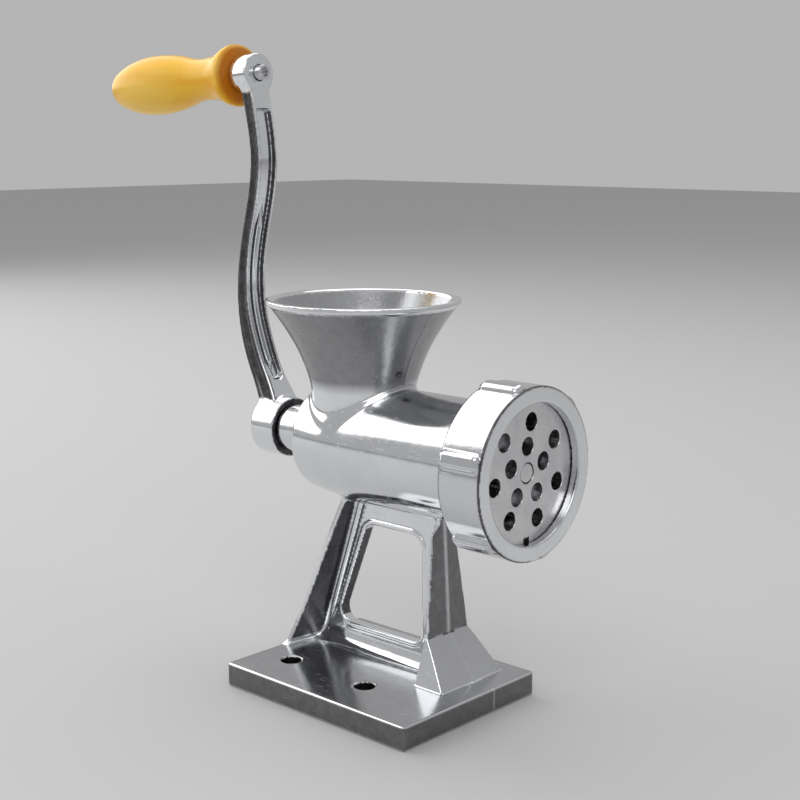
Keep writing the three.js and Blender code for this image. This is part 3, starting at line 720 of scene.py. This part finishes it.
def ring_nut(x, y, z):
    r = np.hypot(y, z - AXIS_Z)
    outside = both(r - RING_RADIUS, between(x, *RING), 0.9)
    outside = both(outside, (r - RING_RADIUS + RING[0] + RING_CHAMFER - x) * 0.707, 0.3)
    sector = 2 * math.pi / RIB_COUNT
    angle = np.arctan2(z - AXIS_Z, y) - FIRST_RIB
    angle = angle - sector * np.round(angle / sector)
    across, up, along = np.abs(r * np.sin(angle)) - RIB_HALF, r * np.cos(angle) - RIB_AT, between(x, *RIB)
    rib = np.maximum(across, 0) ** 2 + np.maximum(up, 0) ** 2 + np.maximum(along, 0) ** 2
    rib = np.sqrt(rib) + np.minimum(np.maximum(np.maximum(across, up), along), 0) - RIB_RADIUS
    d = join(outside, rib, 0.7)
    d = cut(d, r - RING_OPENING_RADIUS, 0.9)
    return cut(d, both(r - thread_radius(x, y, z, RING_THREAD_RADIUS, 1.0), x - RING_THREAD_END), 0.3)


def ring_skin_and_shade(p, n):
    """The ring's two outer edges and its thread get the dark, rougher skin, a painted dark outline and
    painted shade; its front face is bright, and the rest is in between."""
    x, y, z = p.T
    r = np.hypot(y, z - AXIS_Z)
    front = (x > 83.3) * (n[:, 0] < 0.97) * (r > 39.8)
    back = (x < 61.2) * (n[:, 0] < -0.2) * (r > 39.5)
    thread = (r < 40.2) * (x < 80.5)
    return np.clip(0.16 * (n[:, 0] < 0.9) + front * 0.8 + back * 0.7 + thread * 0.5, 0, 1)


sculpt(
    "ring_nut", "ring", ring_nut, (57.5, -46.5, 75.5), (86.5, 46.5, 168.5), 0.72, "cast_aluminium",
    raw=ring_skin_and_shade,
)

# ---------------------------------------------------------------------------------------
# Perforated plate, knife, stud, auger and its bearings
# ---------------------------------------------------------------------------------------

PLATE, PLATE_RADIUS = (71.7, 79.7), 34.9
HOLE_RADIUS, STUD_HOLE_RADIUS = 4.3, 5.0
HOLE_CIRCLES = ((24.0, 7, 84.0), (12.6, 5, 90.0))  # radius, count, and degrees to the first hole
NOTCH_HALF, NOTCH_FROM_AXIS = 2.1, 30.9


def plate(x, y, z):
    v = z - AXIS_Z
    r = np.hypot(y, v)
    holes = r - STUD_HOLE_RADIUS
    for radius, count, first in HOLE_CIRCLES:
        for i in range(count):
            a = math.radians(first + i * 360 / count)
            hole = np.hypot(y - radius * math.cos(a), v - radius * math.sin(a)) - HOLE_RADIUS
            holes = np.minimum(holes, hole)
    d = cut(both(r - PLATE_RADIUS, between(x, *PLATE), 0.5), holes, 0.45)
    return cut(d, both(np.abs(y) - NOTCH_HALF, v + NOTCH_FROM_AXIS), 0.3)


sculpt("plate", "cutting_plate", plate, (70.5, -36.5, 85.5), (81, 36.5, 158.5), 0.62, "steel")

KNIFE, KNIFE_HUB_RADIUS, BLADE_LENGTH, BLADE_HALF = (66.3, 71.3), 10.5, 32.5, 4.4
KNIFE_SQUARE_HALF = 4.8


def knife(x, y, z):
    v = z - AXIS_Z
    r = np.hypot(y, v)
    d = both(r - KNIFE_HUB_RADIUS, between(x, *KNIFE), 0.5)
    for quarter in range(4):
        a = math.radians(45 + 90 * quarter)
        along, across = y * math.cos(a) + v * math.sin(a), -y * math.sin(a) + v * math.cos(a)
        half = BLADE_HALF - 0.03 * along
        edge = (across - half + np.clip(KNIFE[1] - x, 0, 5) * 0.75) * 0.8
        blade = both(both(edge, -across - half, 0.2), between(along, 0, BLADE_LENGTH), 0.6)
        d = join(d, both(blade, between(x, *KNIFE), 0.3), 1.5)
    return cut(d, np.maximum(np.abs(y), np.abs(v)) - KNIFE_SQUARE_HALF, 0.2)


sculpt("knife", "crankshaft", knife, (65, -34.5, 87.5), (72.5, 34.5, 156.5), 0.7, "steel")

CORE, CORE_RADIUS, CORE_GROWTH = (-37.0, 64.5), 9.5, 3.5
COLLAR, COLLAR_RADIUS = (-45.0, -40.0), 15.0
JOURNAL, JOURNAL_RADIUS = (-77.6, -40.0), 9.0
FLIGHT, FLIGHT_RADIUS, FLIGHT_PITCH = (-36.0, 62.0), 24.4, 27.0
SQUARE, SQUARE_HALF = (-95.7, -70.0), 6.0
SCREW_HOLE_END, STUD_HOLE_START, SHAFT_HOLE_RADIUS = -84.0, 49.0, 4.3


def auger(x, y, z):
    v = z - AXIS_Z
    r = np.hypot(y, v)
    core = CORE_RADIUS + CORE_GROWTH * np.clip((x + 36) / 100.5, 0, 1)
    d = both((r - core) * 0.998, between(x, *CORE), 0.8)
    d = join(d, both(r - COLLAR_RADIUS, between(x, *COLLAR), 0.8), 3.0)
    d = join(d, both(r - JOURNAL_RADIUS, between(x, *JOURNAL), 0.5))
    turn = np.arctan2(v, y) / (2 * math.pi)
    phase = ((x + 35.0) / FLIGHT_PITCH + turn + 0.5) % 1.0 - 0.5
    lean = FLIGHT_PITCH / (2 * math.pi * np.maximum(r, 6))
    half = 2.4 - 1.0 * np.clip((r - core) / 14.0, 0, 1)
    flight = (np.abs(phase) * FLIGHT_PITCH - half) / np.sqrt(1 + lean**2)
    ends = both(r - FLIGHT_RADIUS, between(x, *FLIGHT), 1.0)
    d = join(d, both(flight, ends, 0.9), 2.6)
    d = join(d, both(np.maximum(np.abs(y), np.abs(v)) - SQUARE_HALF, between(x, *SQUARE), 0.6))
    d = cut(d, both(r - SHAFT_HOLE_RADIUS, x - SCREW_HOLE_END), 0.3)
    return cut(d, both(r - SHAFT_HOLE_RADIUS, STUD_HOLE_START - x), 0.3)


sculpt("auger", "crankshaft", auger, (-98, -26, 96), (66.5, 26, 148), 0.95, "auger_casting")
turned(
    "rear_bush", "casting", [(-77, 9.3), (-77, 10.5), (-47.5, 10.5), (-47.5, 9.3)], "bronze", closed=True,
)
turned(
    "thrust_washer", "crankshaft", [(-46.7, 9.3), (-46.7, 15), (-45.3, 15), (-45.3, 9.3)], "nylon",
    closed=True,
)
turned(
    "plate_key", "casting", [(0, 0), (0, 1.6, 0.3), (6.4, 1.6, 0.3), (6.4, 0)], "steel",
    (KEY_X, 0.0, AXIS_Z - 38.2), math.pi / 2, 24,
)
turned(
    "knife_stud", "crankshaft",
    [(50, 0), (50, 4, 0.6), (64.8, 4), (64.8, 5.6, 0.2), (71.4, 5.6, 0.2), (71.4, 4.6), (79.3, 4.6, 0.8),
     (79.3, 0)],
    "steel",
)

# ---------------------------------------------------------------------------------------
# Crank
# ---------------------------------------------------------------------------------------

ARM, ARM_HALF_WIDTH, HUB_END_EXTRA = (126.0, 306.0), 6.8, 3.2
ARM_X = Curve([
    (112, -78.5), (124, -84), (138, -91), (149, -97.5), (165, -104.5), (184, -109.1), (202, -109.4),
    (224, -105.5), (245, -100.2), (266, -98), (281, -100), (300, -104.5), (312, -108),
])
ARM_THICK = Curve([
    (112, 11.5), (138, 11.5), (149, 11.3), (165, 11), (184, 9.4), (202, 8), (224, 7.6), (245, 7.6),
    (281, 7.6), (300, 8), (312, 8),
])
CHANNEL, CHANNEL_HALF, CHANNEL_DEPTH = (146.5, 289.0), 4.9, 3.0
HUB, HUB_RADIUS, HUB_SQUARE_HALF = (-96.0, -78.0), 15.8, 6.3
EYE = (-106.4, 0.0, 306.8)
EYE_RADIUS, EYE_HALF, EYE_BORE_RADIUS = 10.2, 6.0, 4.2
TILT = math.radians(3.2)  # of the eye and of the grip's spindle in it


def crank_arm(x, y, z):
    off = (x - ARM_X(z)) / np.hypot(1.0, ARM_X.slope(z))
    half = ARM_THICK(z) / 2
    width = ARM_HALF_WIDTH + HUB_END_EXTRA * np.clip((149.0 - z) / 20.0, 0, 1) ** 1.5
    waist = 0.5 * np.exp(-((off / 2.6) ** 4))
    arm = both(np.abs(off) - half, np.abs(y) - width + waist, 1.4)
    arm = both(arm, between(z, *ARM))
    # The channel in the arm's front face has rounded ends, with a ridge along its lower half.
    channel = both(np.abs(y) - CHANNEL_HALF, between(z, *CHANNEL), np.where(z > 220, 2.0, 4.4))
    floor = half - CHANNEL_DEPTH
    arm = cut(arm, both(channel, floor - off, 0.4), 0.6)
    rise = np.clip((240.0 - z) / 12, 0, 1) * np.clip((z - 151.0) / 5, 0, 1)
    ridge = both(np.hypot(y - 0.2, off - floor) - 2.3 * rise, between(z, 148, 242))
    arm = join(arm, ridge, 0.6)
    r = np.hypot(y, z - AXIS_Z)
    hub = both(r - HUB_RADIUS, between(x, *HUB), np.where(x > -87, 0.7, 2.4))
    hub = join(hub, both(arm, x - HUB[1] + 0.6, 0.8), 1.8)
    ex, ez = x - EYE[0], z - EYE[2]
    along = ex * math.cos(TILT) + ez * math.sin(TILT)
    from_pin = np.hypot(y, -ex * math.sin(TILT) + ez * math.cos(TILT))
    d = join(hub, both(from_pin - EYE_RADIUS, np.abs(along) - EYE_HALF, 0.9), 2.0)
    square = np.maximum(np.abs(y), np.abs(z - AXIS_Z)) - HUB_SQUARE_HALF
    d = cut(d, both(square, z - 150.0), 0.3)
    return cut(d, from_pin - EYE_BORE_RADIUS, 0.5)


def arm_skin_and_shade(p, n):
    """The arm's sides and the hub's front get a darker skin between polished edges, partly as cast and
    partly painted shade.
    """
    x, _, z = p.T
    side = np.clip((np.abs(n[:, 1]) - 0.9) * 14, 0, 1) * (z > 134) * (z < 297)
    end = (n[:, 0] > 0.9) * (z < 138.5) * (x > -79)
    return np.clip(side + end, 0, 1)


sculpt(
    "crank_arm", "crankshaft", crank_arm, (-118, -18, 104), (-76, 18, 319), 0.66, "cast_aluminium",
    keep=0.8, raw=arm_skin_and_shade,
)
turned(
    "crank_washer", "crankshaft", [(-98.2, 4.4), (-98.2, 10, 0.4), (-96.3, 10, 0.4), (-96.3, 4.4)], "steel",
    closed=True,
)

SCREW_HEAD, SCREW_HEAD_RADIUS = (-104.0, -98.5), 7.2
SCREW_SHANK, SCREW_SHANK_RADIUS = (-99.5, -85.0), 4.0
SCREW_SLOT_HALF, SCREW_SLOT_FLOOR = 1.0, -101.8


def crank_screw(x, y, z):
    r = np.hypot(y, z - AXIS_Z)
    head = both(r - SCREW_HEAD_RADIUS, between(x, *SCREW_HEAD), 1.3)
    head = cut(head, both(np.abs(z - AXIS_Z) - SCREW_SLOT_HALF, x - SCREW_SLOT_FLOOR), 0.2)
    return join(head, both(r - SCREW_SHANK_RADIUS, between(x, *SCREW_SHANK), 0.4))


sculpt("crank_screw", "crankshaft", crank_screw, (-105, -8.5, 113.5), (-84, 8.5, 130.5), 0.45, "steel")
turned(
    "grip_spindle", "crankshaft",
    [(-110.5, 0), (-110.5, 5.2, 0.9), (-107, 5.2, 0.3), (-107, 3.9), (10.5, 3.9, 0.7), (10.5, 2.3, 0.3),
     (6.5, 2.3), (6.5, 0)],
    "steel", EYE, TILT,
)
turned(
    "grip_washer", "crankshaft", [(-8.2, 4.1), (-8.2, 9, 0.5), (-6.4, 9, 0.5), (-6.4, 4.1)], "steel",
    EYE, TILT, closed=True,
)

GRIP_FRONT, GRIP_LENGTH, GRIP_BORE_RADIUS = -8.6, 104.4, 4.2
GRIP_RECESS_DEPTH, GRIP_RECESS_RADIUS = 6.4, 5.8  # for the spindle's head
GRIP = Curve([
    (0, 15.1), (1.6, 16.0), (3.6, 16.15), (7, 15.2), (13, 12.9), (20, 11.5), (28, 11), (36, 11.6),
    (46, 13.8), (56, 15.4), (66, 16.1), (74, 16), (82, 15.1), (90, 13.4), (96, 11.5), (100.5, 9.5),
    (103.2, 7.6),
])


def grip():
    front, back = GRIP_FRONT, GRIP_FRONT - GRIP_LENGTH
    profile = [(front, GRIP_BORE_RADIUS), (front, 13.6), (front - 0.35, 14.4), (front - 0.9, 15.0)]
    profile += [(front - d, float(GRIP(d))) for d in np.linspace(1.6, 103.2, 90)]
    profile += [(back + 0.7, 6.9), (back + 0.15, 6.4), (back, GRIP_RECESS_RADIUS)]
    profile += [(back + GRIP_RECESS_DEPTH, GRIP_RECESS_RADIUS), (back + GRIP_RECESS_DEPTH, GRIP_BORE_RADIUS)]
    p, faces = lathe(profile, 96, True)
    end = np.clip((p[:, 0] - front + 2.2) / 2.0, 0, 1) + np.clip((back + 2.5 - p[:, 0]) / 2.5, 0, 1)
    outward(make("grip", "handle", placed(p, EYE, TILT), faces, "varnished_wood", endgrain=end))


grip()

# ---------------------------------------------------------------------------------------
# Floor, light and camera, in metres
# ---------------------------------------------------------------------------------------

FLOOR_HALF = 6.0
ROOM_LIGHT = 0.46
FOCAL_LENGTH, SENSOR_WIDTH = 65.01, 36.0  # millimetres
CAMERA_AT = (0.4770, -0.5157, 0.2753)
CAMERA_PITCH, CAMERA_TURN = math.radians(79.6), math.radians(42.8)


def stage():
    """A plain pale floor."""
    n = Nodes("floor")
    n.finish((0.58, 0.58, 0.58), n.ramp(n.noise(3.0), 0, 1, 0.8, 0.9), None, 0.0, Specular_IOR_Level=0.1)
    mesh = bpy.data.meshes.new("floor")
    a = FLOOR_HALF
    mesh.from_pydata([(-a, -a, 0), (a, -a, 0), (a, a, 0), (-a, a, 0)], [], [(0, 1, 2, 3)])
    floor = bpy.data.objects.new("floor", mesh)
    mesh.materials.append(n.material)
    bpy.context.scene.collection.objects.link(floor)


def area(name, location, target, size, power):
    lamp = bpy.data.lights.new(name, "AREA")
    lamp.shape = "RECTANGLE"
    lamp.size, lamp.size_y = size
    lamp.energy = power
    o = bpy.data.objects.new(name, lamp)
    o.location = location
    o.rotation_euler = (Vector(target) - Vector(location)).to_track_quat("-Z", "Y").to_euler()
    bpy.context.scene.collection.objects.link(o)


def studio():
    """An even light grey room with three large soft lamps."""
    world = bpy.data.worlds.new("studio")
    world.use_nodes = True
    bpy.context.scene.world = world
    background = world.node_tree.nodes["Background"]
    background.inputs["Color"].default_value = (1.0, 1.0, 1.0, 1.0)
    background.inputs["Strength"].default_value = ROOM_LIGHT
    area("left", (-1.5, -0.25, 1.15), (0, 0, 0.15), (2.4, 1.9), 20)
    area("key", (0.9, -1.2, 1.6), (0, 0, 0.15), (1.6, 1.2), 10)
    area("top", (-0.2, 0.5, 2.0), (0, 0, 0.1), (1.8, 1.4), 10)


def camera():
    data = bpy.data.cameras.new("camera")
    data.lens, data.sensor_width = FOCAL_LENGTH, SENSOR_WIDTH
    data.clip_start, data.clip_end = 0.01, 50.0
    cam = bpy.data.objects.new("camera", data)
    cam.location = CAMERA_AT
    cam.rotation_euler = (CAMERA_PITCH, 0.0, CAMERA_TURN)
    bpy.context.scene.collection.objects.link(cam)
    bpy.context.scene.camera = cam


stage()
studio()
camera()
bpy.context.scene.view_settings.view_transform = "Standard"
